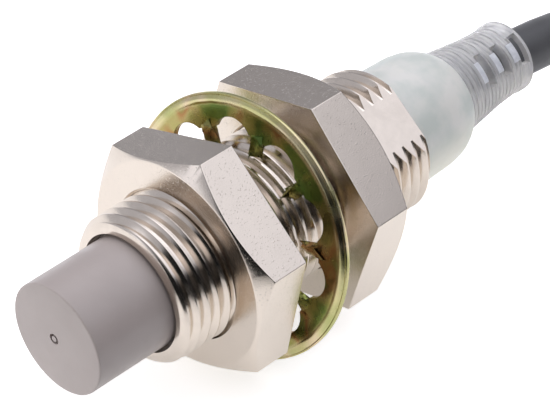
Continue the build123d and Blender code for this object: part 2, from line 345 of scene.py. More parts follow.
def make_finishes() -> dict[str, Finish]:
    """Lists the sensor's finishes.

    Returns:
        Each finish by its short name.
    """
    nickel = (0.73, 0.65, 0.565)
    nickel_mid = (0.715, 0.637, 0.554)
    nickel_dull = (0.68, 0.605, 0.525)
    listed = {
        "cap": Finish(
            "cap_satin", "cap_plastic", (0.375, 0.325, 0.305), (0.395, 0.343, 0.322),
            patch=3 * MM, roughness=0.36, grain=0.12 * MM, grain_depth=0.003 * MM,
        ),
        "barrel": PlatedNickel(
            "barrel_plating", "barrel_nickel", nickel, nickel_dull, patch=1.2 * MM, roughness=0.19,
            rough_swing=0.04, grain=0.07 * MM, grain_depth=0.0008 * MM,
            mark_size=0.6 * MM, mark_stretch=(9.0, 1.0, 1.0), mark_depth=0.0010 * MM,
        ),
        "nut": PlatedNickel(
            "nut_plating", "nut_nickel", nickel, nickel_mid, patch=2.5 * MM, roughness=0.22,
            rough_swing=0.02, grain=0.12 * MM, grain_depth=0.0022 * MM, mark_size=0.5 * MM,
            mark_stretch=(1.0, 6.0, 6.0), mark_depth=0.0006 * MM, speck_depth=0.006 * MM,
        ),
        "washer": IridescentChromate(
            "washer_chromate", "washer_chromate", nickel, nickel, patch=3.5 * MM, roughness=0.24,
            grain=0.25 * MM, grain_depth=0.003 * MM,
        ),
        "cover": Translucent(
            "cover_milky", "cover_milky", (0.70, 0.69, 0.65), (0.57, 0.60, 0.56), patch=2.6 * MM,
            roughness=0.36, grain=0.3 * MM, grain_depth=0.006 * MM, milk=0.6, depth=1.2 * MM,
            # painted floor light on the cover's underside
            underside_light_colour=(0.97, 0.95, 0.78), underside_light_share=1.0,
        ),
        "relief": Translucent(
            "relief_clear", "relief_clear", (0.97, 0.95, 0.93), (0.72, 0.72, 0.72), patch=1.2 * MM,
            roughness=0.16, rough_swing=0.05, grain=0.3 * MM, grain_depth=0.008 * MM, milk=0.3,
            # painted floor light on the sleeve's underside
            depth=0.5 * MM, clear=0.60, underside_light_colour=(1.0, 0.96, 0.88), underside_light_share=0.9, rings=6.0,
        ),
        "pads": Translucent(
            "relief_pads", "relief_clear", (0.62, 0.63, 0.66), (0.52, 0.53, 0.56), patch=0.6 * MM,
            roughness=0.25, grain=0.2 * MM, milk=0.5, depth=0.4 * MM,
        ),
        "jacket": Finish(
            "cable_jacket_pvc", "cable_pvc", (0.060, 0.060, 0.063), (0.078, 0.078, 0.080),
            patch=4 * MM, roughness=0.42, grain=0.2 * MM, grain_depth=0.006 * MM,
        ),
        "tie": Finish(
            "tie_plastic", "tie_plastic", (0.02, 0.02, 0.021), (0.03, 0.03, 0.031),
            patch=2 * MM, roughness=0.38, grain=0.3 * MM,
        ),
        "blue": Finish(
            "insulation_blue", "wire_blue", (0.02, 0.10, 0.42), (0.03, 0.13, 0.47), roughness=0.34,
        ),
        "black": Finish(
            "insulation_black", "wire_black", (0.016, 0.016, 0.017), (0.026, 0.026, 0.027), roughness=0.36,
        ),
        "brown": Finish(
            "insulation_brown", "wire_brown", (0.15, 0.062, 0.03), (0.18, 0.075, 0.036), roughness=0.35,
        ),
        "tinned": Finish(
            "tinned_strands", "tinned_copper", (0.72, 0.69, 0.65), (0.62, 0.55, 0.48), metal=1.0,
            roughness=0.3, patch=0.5 * MM,
        ),
        "ferrite": Finish(
            "ferrite_grey", "ferrite", (0.055, 0.055, 0.058), (0.08, 0.08, 0.08), roughness=0.6,
            grain=0.1 * MM, grain_depth=0.006 * MM,
        ),
        "bobbin": Finish("bobbin_nylon", "bobbin_plastic", (0.80, 0.77, 0.68), (0.84, 0.82, 0.74)),
        "copper": Finish(
            "winding_copper", "copper", (0.62, 0.24, 0.09), (0.70, 0.31, 0.13), metal=1.0,
            roughness=0.28, patch=0.4 * MM,
        ),
        "board": Finish(
            "board_green", "board_laminate", (0.018, 0.12, 0.045), (0.028, 0.15, 0.06), roughness=0.3,
            coat=0.3,
        ),
        "chip": Finish("component_epoxy", "component_black", (0.02, 0.02, 0.02), (0.03, 0.03, 0.03)),
        "resistor": Finish("resistor_glaze", "resistor_ceramic", (0.04, 0.04, 0.045), (0.3, 0.3, 0.3)),
        "capacitor": Finish("capacitor_fired", "capacitor_ceramic", (0.40, 0.27, 0.16), (0.46, 0.33, 0.21)),
        "led": Finish("led_epoxy", "led_lens", (0.80, 0.22, 0.06), (0.85, 0.3, 0.1), roughness=0.15, coat=0.5),
        "solder": Finish(
            "solder_bright", "solder", (0.66, 0.66, 0.67), (0.58, 0.58, 0.6), metal=1.0, roughness=0.25,
        ),
        "resin": Finish("resin_cast", "resin", (0.22, 0.24, 0.21), (0.27, 0.28, 0.24), roughness=0.25),
    }
    return listed


class Paint:
    """Hands out each finish's material, made once."""

    def __init__(self) -> None:
        """Starts with no material made."""
        self.finishes = make_finishes()
        self.made: dict[str, bpy.types.Material] = {}

    def coat(self, piece: bpy.types.Object, finish: str) -> None:
        """Gives a piece a finish.

        Args:
            piece: the object to coat.
            finish: the finish's short name.
        """
        if finish not in self.made:
            self.made[finish] = self.finishes[finish].build()
        piece.data.materials.clear()
        piece.data.materials.append(self.made[finish])


# ---- solids -------------------------------------------------------------------------
def linked(name: str, data: bpy.types.ID) -> bpy.types.Object:
    """Puts an object with that data in the scene and returns it."""
    piece = bpy.data.objects.new(name, data)
    bpy.context.scene.collection.objects.link(piece)
    return piece


def settle(bm: bmesh.types.BMesh, name: str) -> bpy.types.Object:
    """Turns a bmesh into an object.

    Args:
        bm: the finished bmesh, which is freed.
        name: the object's name.

    Returns:
        The object, at the origin.
    """
    bmesh.ops.recalc_face_normals(bm, faces=bm.faces)
    mesh = bpy.data.meshes.new(name)
    bm.to_mesh(mesh)
    bm.free()
    return linked(name, mesh)


def spun(outline: Outline, steps: int = 96) -> bmesh.types.BMesh:
    """Spins a closed outline of (x, radius) points about X.

    Args:
        outline: the points, in order.
        steps: how many flats the circle has.

    Returns:
        The closed solid.
    """
    bm = bmesh.new()
    points = [bm.verts.new((x, 0.0, max(radius, 0.0))) for x, radius in outline]
    edges = []
    for a, b in zip(points, points[1:] + points[:1]):
        if a.co.z > 0 or b.co.z > 0:
            edges.append(bm.edges.new((a, b)))
    bmesh.ops.spin(
        bm, geom=points + edges, cent=(0, 0, 0), axis=AXIS, dvec=(0, 0, 0),
        angle=math.tau, steps=steps, use_merge=True, use_duplicate=False,
    )
    bmesh.ops.remove_doubles(bm, verts=bm.verts, dist=1e-6)
    return bm


def rounded(corners: Outline, radius: float, steps: int = 4, skip: tuple[int, ...] = ()) -> Outline:
    """Rounds the corners of a closed outline.

    Args:
        corners: the outline's (x, radius) corner points.
        radius: how far from each corner its round stretch starts.
        steps: how many points each round stretch has beyond its first.
        skip: the corners that stay sharp, by their place in the list.

    Returns:
        The outline with round corners.
    """
    points = [Vector(corner) for corner in corners]
    made: Outline = []
    for i, corner in enumerate(points):
        if i in skip:
            made.append(tuple(corner))
            continue
        before, after = points[i - 1] - corner, points[(i + 1) % len(points)] - corner
        reach = min(radius, before.length * 0.45, after.length * 0.45)
        start, stop = corner + before.normalized() * reach, corner + after.normalized() * reach
        for k in range(steps + 1):
            t = k / steps
            point = start * (1 - t) ** 2 + corner * 2 * t * (1 - t) + stop * t**2
            made.append(tuple(point))
    return made


def carve(target: bpy.types.Object, tool: bpy.types.Object, how: Carve) -> None:
    """Cuts, trims or welds one solid with another, which is used up.

    Args:
        target: the solid that changes.
        tool: the solid that changes it.
        how: what the tool does.
    """
    step = target.modifiers.new("carve", "BOOLEAN")
    step.object = tool
    step.operation = how.value
    step.solver = "EXACT"
    bpy.context.view_layer.update()
    view = bpy.context.evaluated_depsgraph_get()
    mesh = bpy.data.meshes.new_from_object(target.evaluated_get(view))
    target.modifiers.clear()
    old = target.data
    target.data = mesh
    bpy.data.meshes.remove(old)
    bpy.data.objects.remove(tool)


def soften(piece: bpy.types.Object, width: float, angle: float, segments: int = 2) -> None:
    """Rounds every edge of a solid that is sharper than an angle, with bmesh bevel.

    Args:
        piece: the solid.
        width: how wide the rounding is.
        angle: the least turn of an edge that is rounded, in degrees.
        segments: how many faces the rounding has.
    """
    bm = bmesh.new()
    bm.from_mesh(piece.data)
    bmesh.ops.remove_doubles(bm, verts=bm.verts, dist=2e-6)
    bmesh.ops.dissolve_limit(
        bm, angle_limit=math.radians(1.0), verts=bm.verts, edges=bm.edges, use_dissolve_boundaries=False
    )
    sharp = [e for e in bm.edges if len(e.link_faces) == 2 and e.calc_face_angle(0.0) > math.radians(angle)]
    bmesh.ops.bevel(
        bm, geom=sharp, offset=width, offset_type="OFFSET", affect="EDGES", segments=segments,
        profile=0.5, material=-1, clamp_overlap=True,
    )
    bm.to_mesh(piece.data)
    bm.free()


def dress(
    paint: Paint, piece: bpy.types.Object, finish: str, body: Body, nodes: tuple[str, ...] = (), crease: float = 30.0
) -> bpy.types.Object:
    """Shades, coats and mounts a finished piece.

    Args:
        paint: where the finish comes from.
        piece: the finished mesh or curve.
        finish: the finish's short name.
        body: the body that it moves with.
        nodes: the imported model's nodes that it stands for.
        crease: the least angle between faces that shows as an edge, in degrees.

    Returns:
        The piece.
    """
    if piece.type == "MESH":
        piece.data.shade_smooth()
        piece.data.set_sharp_from_angle(angle=math.radians(crease))
        flatter = piece.modifiers.new("flatter shading", "WEIGHTED_NORMAL")
        flatter.keep_sharp = True
        flatter.weight = 100
    paint.coat(piece, finish)
    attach(piece, body.value)
    if nodes:
        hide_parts(*nodes)
    size = len(piece.data.polygons) if piece.type == "MESH" else len(piece.data.splines[0].points)
    LOG.info("%s: %d faces or points", piece.name, size)
    return piece


# ---- thread, barrel and nuts --------------------------------------------------------
@dataclass(frozen=True)
class Thread:
    """The right-hand M12 x 1 thread that the barrel and the nuts share."""

    pitch: float = 1.0 * MM
    crest: float = 5.95 * MM
    root: float = 5.42 * MM
    crest_width: float = 0.12 * MM
    root_width: float = 0.2 * MM
    steps: int = 80

    def ridge(self, gap: float) -> Outline:
        """Gives one ridge's (x, radius) points, from groove to groove.

        Args:
            gap: how much further out the whole ridge is, for a nut's bore.

        Returns:
            The points, with the ridge's middle at x = 0.
        """
        high, low = self.crest + gap, self.root + gap
        half_crest, half_root = self.crest_width / 2, self.root_width / 2
        soft = 0.02 * MM
        rise = [
            (-self.pitch / 2, low),
            (-self.pitch / 2 + half_root, low),
            (-half_crest - soft * 0.5, high - soft),
            (-half_crest + soft * 0.6, high),
        ]
        return rise + [(-x, radius) for x, radius in reversed(rise)]

    def rod(self, start: float, end: float, gap: float = 0.0) -> bmesh.types.BMesh:
        """Makes a closed threaded rod.

        Args:
            start: x of its front end.
            end: x of its rear end.
            gap: how much further out its surface is.

        Returns:
            The rod.
        """
        bm = bmesh.new()
        points = [bm.verts.new((x, 0.0, radius)) for x, radius in self.ridge(gap)]
        edges = [bm.edges.new(pair) for pair in zip(points, points[1:])]
        bmesh.ops.spin(
            bm, geom=points + edges, cent=(0, 0, 0), axis=AXIS, dvec=AXIS * (self.pitch / self.steps),
            angle=math.tau, steps=self.steps, use_merge=False, use_duplicate=False,
        )
        first = math.floor(start / self.pitch) - 2
        turn = bm.verts[:] + bm.edges[:] + bm.faces[:]
        bmesh.ops.translate(bm, verts=bm.verts, vec=AXIS * (first * self.pitch))
        for i in range(1, math.ceil((end - start) / self.pitch) + 4):
            copy = bmesh.ops.duplicate(bm, geom=turn)["geom"]
            fresh = [item for item in copy if isinstance(item, bmesh.types.BMVert)]
            bmesh.ops.translate(bm, verts=fresh, vec=AXIS * (i * self.pitch))
        bmesh.ops.remove_doubles(bm, verts=bm.verts, dist=3e-6)
        for x, way in ((start, -1.0), (end, 1.0)):
            whole = bm.verts[:] + bm.edges[:] + bm.faces[:]
            cut = bmesh.ops.bisect_plane(
                bm, geom=whole, plane_co=AXIS * x, plane_no=AXIS * way, clear_outer=True, clear_inner=False,
            )["geom_cut"]
            rim = [item for item in cut if isinstance(item, bmesh.types.BMEdge)]
            bmesh.ops.edgeloop_fill(bm, edges=rim)
        return bm


@dataclass
class Barrel:
    """The nickel plated tube with its thread, front lip and spanner flat."""

    thread: Thread
    bore: float = 4.8 * MM
    lip_face: float = 5.22 * MM
    lip_long: float = 0.62 * MM
    rear_chamfer: float = 0.3 * MM
    flat_reach: float = 5.08 * MM
    flat_turn: float = 38.5
    flat_start: float = 24.8 * MM

    def build(self, paint: Paint) -> None:
        """Makes the barrel.

        Args:
            paint: where its finish comes from.
        """
        low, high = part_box("threaded_barrel")
        front, rear = low.x, high.x
        outside = self.thread.crest + 0.5 * MM
        piece = settle(self.thread.rod(front - 0.2 * MM, rear + 0.2 * MM), "barrel_thread")
        crest = self.thread.crest
        envelope = [
            (front, self.bore),
            (front, self.lip_face),
            (front + self.lip_long * 0.25, self.lip_face + (crest - self.lip_face) * 0.55),
            (front + self.lip_long, crest),
            (front + self.lip_long + 0.4 * MM, outside),
            (rear - self.rear_chamfer - 0.3 * MM, outside),
            (rear - self.rear_chamfer, crest),
            (rear, crest - self.rear_chamfer * 1.3),
            (rear, self.bore),
        ]
        carve(piece, settle(spun(rounded(envelope, 0.12 * MM, 4, (0, 4, 5, 8)), 128), "envelope"), Carve.TRIM)
        carve(piece, self.miller(rear), Carve.CUT)
        dress(paint, piece, "barrel", Body.SENSOR, ("threaded_barrel",), 15.0)

    def miller(self, rear: float) -> bpy.types.Object:
        """Makes the block that mills the spanner flat.

        Args:
            rear: x of the barrel's rear end.

        Returns:
            The block.
        """
        bm = bmesh.new()
        bmesh.ops.create_cube(bm, size=1.0)
        long = rear - self.flat_start + 1.0 * MM
        bmesh.ops.scale(bm, verts=bm.verts, vec=(long, 20 * MM, 4 * MM))
        bmesh.ops.translate(bm, verts=bm.verts, vec=(self.flat_start + long / 2, 0, self.flat_reach + 2 * MM))
        bmesh.ops.rotate(
            bm, verts=bm.verts, cent=(0, 0, 0), matrix=Matrix.Rotation(math.radians(self.flat_turn), 3, "X")
        )
        return settle(bm, "miller")


@dataclass
class HexNut:
    """A hexagon nut, chamfered on one side, with a tapped bore."""

    name: str
    body: Body
    thread: Thread
    turn: float
    chamfer_on_nose_side: bool
    flats: float = 17.0 * MM
    chamfer_at: float = 8.3 * MM
    chamfer_angle: float = 30.0
    edge: float = 0.07 * MM
    mouth: float = 6.15 * MM
    slack: float = 0.05 * MM

    def build(self, paint: Paint) -> None:
        """Makes the nut.

        Args:
            paint: where its finish comes from.
        """
        low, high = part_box(self.name)
        piece = settle(self.blank(low.x, high.x), self.name + "_hex")
        carve(piece, settle(self.dome(low.x, high.x), "dome"), Carve.TRIM)
        soften(piece, self.edge, 20.0)
        bore = self.thread.rod(low.x - 1 * MM, high.x + 1 * MM, self.slack)
        carve(piece, settle(bore, "tap"), Carve.CUT)
        carve(piece, settle(self.mouths(low.x, high.x), "mouths"), Carve.CUT)
        dress(paint, piece, "nut", self.body, (self.name,), 24.0)

    def blank(self, front: float, rear: float) -> bmesh.types.BMesh:
        """Makes the plain hexagon bar between two x places."""
        bm = bmesh.new()
        ring = bmesh.ops.create_circle(bm, cap_ends=True, segments=6, radius=self.flats / math.sqrt(3))
        stood = Matrix.Rotation(math.radians(90), 3, "Y")
        bmesh.ops.rotate(bm, verts=ring["verts"], cent=(0, 0, 0), matrix=stood)
        corner = next(v.co for v in ring["verts"])
        now = math.degrees(math.atan2(-corner.y, corner.z))
        spin = Matrix.Rotation(math.radians(self.turn - now), 3, "X")
        bmesh.ops.rotate(bm, verts=bm.verts, cent=(0, 0, 0), matrix=spin)
        bmesh.ops.translate(bm, verts=bm.verts, vec=AXIS * front)
        top = bmesh.ops.extrude_face_region(bm, geom=bm.faces[:])["geom"]
        moved = [item for item in top if isinstance(item, bmesh.types.BMVert)]
        bmesh.ops.translate(bm, verts=moved, vec=AXIS * (rear - front))
        return bm

    def dome(self, front: float, rear: float) -> bmesh.types.BMesh:
        """Makes the chamfered round bar that the hexagon is trimmed by."""
        reach = self.flats / math.sqrt(3) + 0.4 * MM
        drop = (reach - self.chamfer_at) * math.tan(math.radians(self.chamfer_angle))
        thick = rear - front
        outline = [(0, 0), (0, self.chamfer_at), (drop, reach), (thick, reach), (thick, 0)]
        if self.chamfer_on_nose_side:
            outline = [(front + x, radius) for x, radius in outline]
        else:
            outline = [(rear - x, radius) for x, radius in reversed(outline)]
        return spun(outline, 144)

    def mouths(self, front: float, rear: float) -> bmesh.types.BMesh:
        """Makes the two cones that open the bore's ends."""
        out = self.thread.crest + self.slack + 0.6 * MM
        slope = out - self.mouth
        deep = self.mouth - self.thread.root
        waist = self.thread.root - 0.2 * MM
        outline = [
            (front - slope, 0),
            (front - slope, out),
            (front + deep, self.thread.root),
            (front + deep, waist),
            (rear - deep, waist),
            (rear - deep, self.thread.root),
            (rear + slope, out),
            (rear + slope, 0),
        ]
        return spun(outline, 128)


# ---- washer -------------------------------------------------------------------------
@dataclass
class ToothedWasher:
    """The loose internal-tooth washer, stamped from sheet, with a rolled rim and twisted teeth."""

    centre: Vector
    lean: float = 10.95
    swing: float = 3.22
    phase: float = 5.5
    teeth: int = 10
    rim: float = 10.4 * MM
    web: float = 9.6 * MM
    sheet: float = 0.58 * MM
    front: float = -0.43 * MM
    window: float = 1.74 * MM
    window_at: float = 6.95 * MM
    tip: float = 6.42 * MM
    tooth_width: float = 1.0 * MM
    tooth_root: float = 8.05 * MM
    twist: float = 44.0

    def build(self, paint: Paint) -> None:
        """Makes the washer.

        Args:
            paint: where its finish comes from.
        """
        piece = settle(self.plate(), "washer_toothed")
        carve(piece, settle(self.windows(), "windows"), Carve.CUT)
        whole = self.tooth_ring()
        bmesh.ops.recalc_face_normals(whole, faces=whole.faces)
        whole.from_mesh(piece.data)
        whole.to_mesh(piece.data)
        whole.free()
        soften(piece, 0.05 * MM, 40.0, 2)
        lean = Matrix.Rotation(math.radians(self.lean), 4, "Y")
        swing = Matrix.Rotation(math.radians(self.swing), 4, "Z")
        phase = Matrix.Rotation(math.radians(self.phase), 4, "X")
        piece.data.transform(Matrix.Translation(self.centre) @ swing @ lean @ phase)
        dress(paint, piece, "washer", Body.WASHER, ("toothed_washer",), 32.0)

    def plate(self) -> bmesh.types.BMesh:
        """Makes the round plate: a rolled-over front edge, a fine burr line and a straight wall."""
        front, back = self.front, self.front + self.sheet
        rim, web = self.rim, self.web
        inner = self.tooth_root - 0.25 * MM
        line = 10.26 * MM
        outline = [
            (front + 0.06 * MM, inner),
            (front + 0.05 * MM, web - 0.5 * MM),
            (front + 0.06 * MM, web - 0.05 * MM),
            (front + 0.015 * MM, web + 0.08 * MM),
            (front, web + 0.2 * MM),
            (front + 0.015 * MM, web + 0.32 * MM),
            (front + 0.06 * MM, web + 0.44 * MM),
            (front + 0.13 * MM, web + 0.54 * MM),
            (front + 0.20 * MM, line - 0.05 * MM),
            (front + 0.12 * MM, line + 0.04 * MM),
            (front + 0.20 * MM, rim - 0.02 * MM),
            (front + 0.32 * MM, rim),
            (back - 0.10 * MM, rim),
            (back, rim - 0.10 * MM),
            (back, inner),
        ]
        return spun(outline, 160)

    def windows(self) -> bmesh.types.BMesh:
        """Makes the round cutters that leave a window between each pair of teeth."""
        bm = bmesh.new()
        step = math.tau / self.teeth
        stood = Matrix.Rotation(math.radians(90), 4, "Y")
        for i in range(self.teeth):
            place = Matrix.Rotation((i + 0.5) * step, 4, "X") @ Matrix.Translation((0, 0, self.window_at))
            bmesh.ops.create_cone(
                bm, cap_ends=True, segments=48, radius1=self.window, radius2=self.window,
                depth=3 * MM, matrix=place @ stood,
            )
        return bm

    def tooth_ring(self) -> bmesh.types.BMesh:
        """Makes the teeth, each a bar that twists from the web to its tip."""
        bm = bmesh.new()
        long = self.tooth_root - self.tip
        middle = self.front + self.sheet / 2
        rungs = 8
        for i in range(self.teeth):
            bar = bmesh.ops.create_grid(bm, x_segments=2, y_segments=3, size=0.5)["verts"]
            bmesh.ops.scale(bm, verts=bar, vec=(self.sheet * 0.94, self.tooth_width, 1.0))
            bmesh.ops.translate(bm, verts=bar, vec=(middle, 0, self.tip))
            faces = [face for face in bm.faces if all(vert in bar for vert in face.verts)]
            layers = [bar]
            for _ in range(rungs):
                grown = bmesh.ops.extrude_face_region(bm, geom=faces)["geom"]
                ring = [item for item in grown if isinstance(item, bmesh.types.BMVert)]
                faces = [item for item in grown if isinstance(item, bmesh.types.BMFace)]
                bmesh.ops.translate(bm, verts=ring, vec=(0, 0, long / rungs))
                layers.append(ring)
            for k, ring in enumerate(layers):
                share = 1 - k / rungs
                turn = math.radians(self.twist) * share * share * (3 - 2 * share)
                spin = Matrix.Rotation(turn, 3, "Z")
                bmesh.ops.rotate(bm, verts=ring, cent=(middle, 0, 0), matrix=spin)
            whole = [vert for ring in layers for vert in ring]
            around = Matrix.Rotation(math.tau * i / self.teeth, 3, "X")
            bmesh.ops.rotate(bm, verts=whole, cent=(0, 0, 0), matrix=around)
        return bm


# ---- mouldings ----------------------------------------------------------------------
@dataclass
class SensingCap:
    """The plastic cap over the coil, with the moulding's gate mark on its face."""

    flange: float = 8.2 * MM
    wall: float = 0.5 * MM
    edge: float = 0.16 * MM
    gate: float = 0.44 * MM

    def build(self, paint: Paint) -> None:
        """Makes the cap.

        Args:
            paint: where its finish comes from.
        """
        low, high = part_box("sensing_cap")
        flange_r = high.z
        cap_r = 4.485 * MM
        inner = cap_r - self.wall
        outline = [
            (low.x, 0),
            (low.x, cap_r - 0.01 * MM),
            (self.flange, cap_r),
            (self.flange, flange_r),
            (high.x, flange_r),
            (high.x, inner),
            (low.x + self.wall, inner),
            (low.x + self.wall, 0),
        ]
        piece = settle(spun(rounded(outline, self.edge, 5, (0, 2, 3, 4, 5, 6, 7)), 128), "cap_shell")
        carve(piece, self.gate_mark(low.x), Carve.CUT)
        dress(paint, piece, "cap", Body.SENSOR, ("sensing_cap",), 35.0)

    def gate_mark(self, face: float) -> bpy.types.Object:
        """Makes the ring that marks where the plastic entered the mould."""
        deep = 0.3 * MM
        ring = [
            (face - deep, self.gate * 0.5),
            (face - deep, self.gate),
            (face + deep, self.gate * 0.96),
            (face + deep, self.gate * 0.54),
        ]
        piece = settle(spun(ring, 32), "gate")
        piece.data.transform(Matrix.Translation((0, 0.28 * MM, -0.09 * MM)))
        return piece


@dataclass
class RearCover:
    """The milky moulding that closes the barrel's rear."""

    wall_in: float = 3.9 * MM
    throat: float = 2.75 * MM
    relief_root: float = 37.5 * MM

    def build(self, paint: Paint) -> None:
        """Makes the cover.

        Args:
            paint: where its finish comes from.
        """
        low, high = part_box("rear_cover")
        barrel_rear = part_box("threaded_barrel")[1].x
        outer = high.z
        outline = [
            (low.x, self.wall_in),
            (low.x, 4.77 * MM),
            (barrel_rear, 4.77 * MM),
            (barrel_rear, outer - 0.04 * MM),
            (barrel_rear + 0.5 * MM, outer),
            (37.3 * MM, 4.84 * MM),
            (38.5 * MM, 4.64 * MM),
            (39.5 * MM, 4.15 * MM),
            (high.x, 3.6 * MM),
            (high.x, self.throat),
            (self.relief_root, self.throat),
            (self.relief_root, self.wall_in),
        ]
        piece = settle(spun(rounded(outline, 0.45 * MM, 5, (0, 1, 2, 9, 10, 11)), 128), "cover_shell")
        dress(paint, piece, "cover", Body.SENSOR, ("rear_cover",), 40.0)


@dataclass
class StrainRelief:
    """The clear sleeve round the cable, ringed, with windows and pads along two sides, as the real sleeve has for
    bending; here it is a rigid piece.
    """

    cable: float = 2.03 * MM
    root: float = 37.5 * MM
    spigot: float = 2.73 * MM
    profile: tuple[tuple[float, float], ...] = (
        (40.2, 3.52), (42.6, 3.22), (44.0, 3.04), (45.6, 2.94), (46.8, 2.9), (47.1, 3.0), (47.8, 3.02),
    )
    ring_step: float = 0.5 * MM
    ring_deep: float = 0.15 * MM
    cells: int = 3
    first_cell: float = 42.28 * MM
    cell_step: float = 2.05 * MM
    pad_long: float = 0.66 * MM
    pad_arc: float = 31.0
    pad_proud: float = 0.03 * MM
    window_on: float = 0.77 * MM
    window_long: float = 0.78 * MM
    window_arc: float = 52.0
    window_floor: float = 2.12 * MM
    facing: float = 44.0

    def radius(self, x: float) -> float:
        """Returns the sleeve's outer radius at a place along it."""
        points = [(a * MM, r * MM) for a, r in self.profile]
        for (x0, r0), (x1, r1) in zip(points, points[1:]):
            if x <= x1:
                return r0 + (r1 - r0) * (x - x0) / (x1 - x0)
        return points[-1][1]

    def build(self, paint: Paint) -> None:
        """Makes the sleeve.

        Args:
            paint: where its finish comes from.
        """
        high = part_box("strain_relief")[1]
        skin: Outline = []
        start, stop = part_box("rear_cover")[1].x, 47.0 * MM
        count = round((stop - start) / self.ring_step)
        for i in range(count):
            x = start + (stop - start) * i / count
            groove = self.ring_deep * (1.0 if i % 2 else 0.55)
            skin += [
                (x, self.radius(x) - groove),
                (x + self.ring_step * 0.22, self.radius(x) - groove),
                (x + self.ring_step * 0.3, self.radius(x)),
                (x + self.ring_step * 0.92, self.radius(x)),
            ]
        outline = [
            (self.root, self.cable),
            (self.root, self.spigot),
            (start, self.spigot),
            *skin,
            (47.15 * MM, 3.0 * MM),
            (high.x - 0.1 * MM, 3.01 * MM),
            (high.x, 2.9 * MM),
            (high.x, self.cable + 0.45 * MM),
            (44.5 * MM, self.cable),
        ]
        piece = settle(spun(rounded(outline, 0.05 * MM, 2), 112), "relief_sleeve")
        pads = bmesh.new()
        for number in range(self.cells):
            x = self.first_cell + number * self.cell_step
            top = self.radius(x) + self.pad_proud
            for side in (0.0, 180.0):
                self.arc(pads, (x, self.pad_long), (top - 0.16 * MM, top), self.pad_arc, side)
                hole = bmesh.new()
                wall = (self.window_floor, self.radius(x) + 0.5 * MM)
                self.arc(hole, (x + self.window_on, self.window_long), wall, self.window_arc, side)
                carve(piece, settle(hole, "window"), Carve.CUT)
        dress(paint, piece, "relief", Body.SENSOR, ("strain_relief",), 40.0)
        dress(paint, settle(pads, "relief_pads"), "pads", Body.SENSOR, (), 40.0)

    def arc(
        self,
        bm: bmesh.types.BMesh,
        along: tuple[float, float],
        wall: tuple[float, float],
        degrees: float,
        side: float,
    ) -> None:
        """Adds a block that is bent round the sleeve.

        Args:
            bm: the bmesh that it is added to.
            along: its middle along the sleeve and its length.
            wall: its inner and outer radius.
            degrees: how far round the sleeve it reaches.
            side: which side of the sleeve it is on, in degrees.
        """
        before = set(bm.verts)
        half = along[1] / 2
        corners = [(-half, wall[0]), (half, wall[0]), (half, wall[1]), (-half, wall[1])]
        points = [bm.verts.new((along[0] + x, 0.0, radius)) for x, radius in corners]
        face = bm.faces.new(points)
        start = Matrix.Rotation(math.radians(self.facing + side - degrees / 2), 3, "X")
        bmesh.ops.rotate(bm, verts=points, cent=(0, 0, 0), matrix=start)
        bmesh.ops.spin(
            bm, geom=[face, *face.edges, *points], cent=(0, 0, 0), axis=AXIS, dvec=(0, 0, 0),
            angle=math.radians(degrees), steps=10, use_merge=False, use_duplicate=False,
        )
        made = [vert for vert in bm.verts if vert not in before]
        bmesh.ops.remove_doubles(bm, verts=made, dist=1e-7)


# ---- cable --------------------------------------------------------------------------
class Level(Enum):
    """Which side of a layer of the hank a stretch of cable lies on."""

    INNER = 12.4 * MM
    OUTER = 16.5 * MM


@dataclass
class Hank:
    """The put-away length: long turns in two columns and five layers, drawn in by the tie."""

    middle: Vector
    foot: float
    half_run: float = 22.8 * MM
    waist: float = 8.4 * MM
    cable: float = 2.0 * MM
    pitch: float = 4.05 * MM
    turns: int = 10
    over_tie: float = 0.6 * MM

    def height(self, layer: float) -> float:
        """Returns z of the cable's middle in a layer, where the fifth and last lies on the tie."""
        top = 4.0
        over = max(layer - top, 0.0)
        return self.foot + self.cable + min(layer, top) * self.pitch + over * (2 * self.cable + self.over_tie)

    def side(self, way: float, a: tuple[float, float], b: tuple[float, float], y_sign: float) -> list[Vector]:
        """Gives the points down one long side.

        Args:
            way: +1 towards the far end, -1 back.
            a: the column's half width and the layer where the side starts.
            b: the same where it ends.
            y_sign: +1 for the side nearer +Y, -1 for the other.

        Returns:
            The points.
        """
        points = []
        places = 5
        for i in range(places):
            share = (i + 0.5) / places
            x = way * self.half_run * (2 * share - 1)
            blend = share * share * (3 - 2 * share)
            half = a[0] + (b[0] - a[0]) * blend
            layer = a[1] + (b[1] - a[1]) * blend
            tuck = self.waist * (1 + math.cos(math.pi * x / self.half_run)) / 2
            points.append(self.middle + Vector((x, y_sign * (half - tuck), self.height(layer))))
        return points

    def bend(self, way: float, half: float, layer: float) -> list[Vector]:
        """Gives the points round one end.

        Args:
            way: +1 for the far end, -1 for the near one.
            half: the column's half width.
            layer: the layer that it lies in.

        Returns:
            The points, clockwise seen from above.
        """
        points = []
        places = 6
        swell = 1 / math.cos(math.pi / places / 2)
        for i in range(places):
            angle = math.pi * (i + 0.5) / places
            x = way * (self.half_run + half * swell * math.sin(angle))
            y = way * half * swell * math.cos(angle)
            points.append(self.middle + Vector((x, y, self.height(layer))))
        return points

    def points(self) -> list[Vector]:
        """Gives the turns' points, from the outer column of the lowest layer up."""
        inner, outer = Level.INNER.value, Level.OUTER.value
        made = []
        for number in range(self.turns):
            layer, second = divmod(number, 2)
            first_is_outer = layer % 2 == 0
            start = outer if first_is_outer != bool(second) else inner
            if second:
                stop, stop_layer = start, layer + 1
            else:
                stop, stop_layer = (inner if first_is_outer else outer), layer
            made += self.side(1, (start, layer), (start, layer), 1)
            made += self.bend(1, start, layer)
            made += self.side(-1, (start, layer), (stop, stop_layer), -1)
            made += self.bend(-1, stop, stop_layer)
        return made


